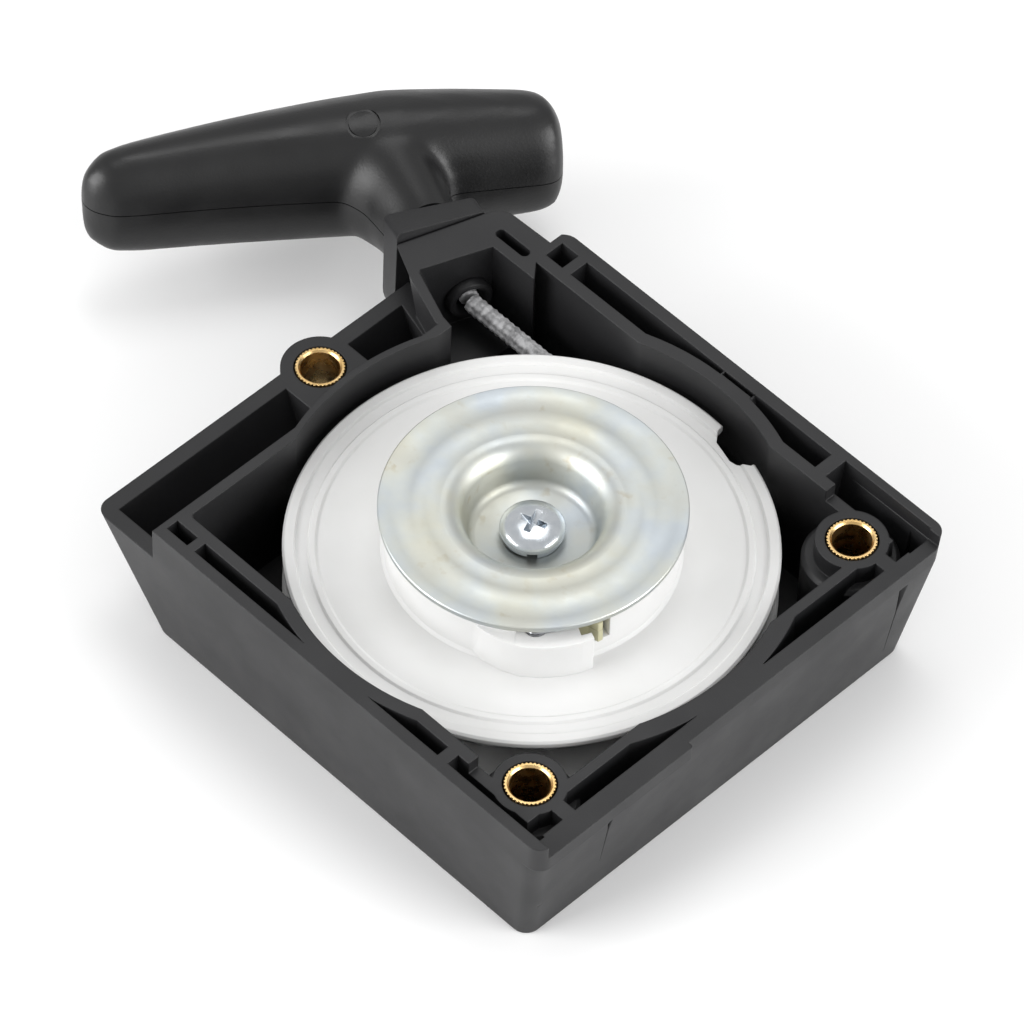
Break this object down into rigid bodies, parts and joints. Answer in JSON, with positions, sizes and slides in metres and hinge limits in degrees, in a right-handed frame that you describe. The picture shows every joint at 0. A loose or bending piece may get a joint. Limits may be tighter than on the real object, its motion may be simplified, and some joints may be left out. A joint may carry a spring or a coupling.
{
  "type": "recoil starter",
  "caption": "Square moulded recoil starter with a rope pulley under a dished retaining disc, pawls in its hub, brass-lined screw bosses and a T-handle on a rope.",
  "frame": {"origin": "on the pulley axis at the outer face of the housing floor", "axes": "+Z along the pulley axis to the open engine side; X and Y along the housing's sides, the handle is at -X +Y"},
  "size_m": [0.1398, 0.1024, 0.03],
  "materials": {
    "black_plastic": "fine moulded grain",
    "black_grip": "satin moulded",
    "brass": "turned and knurled",
    "white_nylon": "translucent moulded nylon",
    "cream_nylon": "moulded nylon",
    "zinc_plate": "zinc plated pressing",
    "bright_zinc": "bright zinc plate",
    "dark_steel": "dark ground steel",
    "spring_steel": "spring temper steel",
    "braided_cord": "braided polyester cord"
  },
  "bodies": {
    "housing": {"housing": "black_plastic", "brass_insert_1": "brass", "brass_insert_2": "brass", "brass_insert_3": "brass", "rope_guide": "black_plastic", "spring_cup": "zinc_plate", "recoil_spring": "spring_steel", "post_insert": "brass", "friction_spring": "spring_steel", "retaining_disc": "zinc_plate", "lock_washer": "bright_zinc", "centre_screw": "bright_zinc", "rope_run": "braided_cord"},
    "pulley": {"pulley": "white_nylon", "rope_coil": "braided_cord", "rope_knot_pulley": "braided_cord", "pawl_pin_a": "dark_steel", "pawl_pin_b": "dark_steel", "pawl_spring_a": "spring_steel", "pawl_spring_b": "spring_steel"},
    "handle": {"handle_upper": "black_grip", "handle_lower": "black_grip", "handle_collar": "black_plastic", "rope_lead": "braided_cord", "rope_knot_handle": "braided_cord", "rope_washer": "bright_zinc"},
    "pawl_a": {"pawl_a": "cream_nylon"},
    "pawl_b": {"pawl_b": "cream_nylon"}
  },
  "joints": [
    {"name": "handle_pull", "type": "slide", "parent": "housing", "child": "handle", "axis": [-0.9006, 0.4347, 0], "range_m": [0, 0.68], "stiffness_N_per_m": 12, "springref_m": -0.4, "deforming": ["rope_lead"]},
    {"name": "pulley_spin", "type": "hinge", "parent": "housing", "child": "pulley", "pos_m": [0, 0, 0.0209], "axis": [0, 0, 1], "range_deg": [0, 1352], "deforming": ["recoil_spring"]},
    {"name": "pawl_a_swing", "type": "hinge", "parent": "pulley", "child": "pawl_a", "pos_m": [0.01468, -0.01388, 0.0239], "axis": [0, 0, -1], "range_deg": [0, 12], "stiffness_Nm_per_rad": 0.0006, "springref_deg": -22.92},
    {"name": "pawl_b_swing", "type": "hinge", "parent": "pulley", "child": "pawl_b", "pos_m": [-0.01468, 0.01388, 0.0239], "axis": [0, 0, -1], "range_deg": [0, 12], "stiffness_Nm_per_rad": 0.0006, "springref_deg": -22.92}
  ],
  "couplings": [
    {"joint": "pulley_spin", "follows": "handle_pull", "rad_per_m": 34.6}
  ]
}
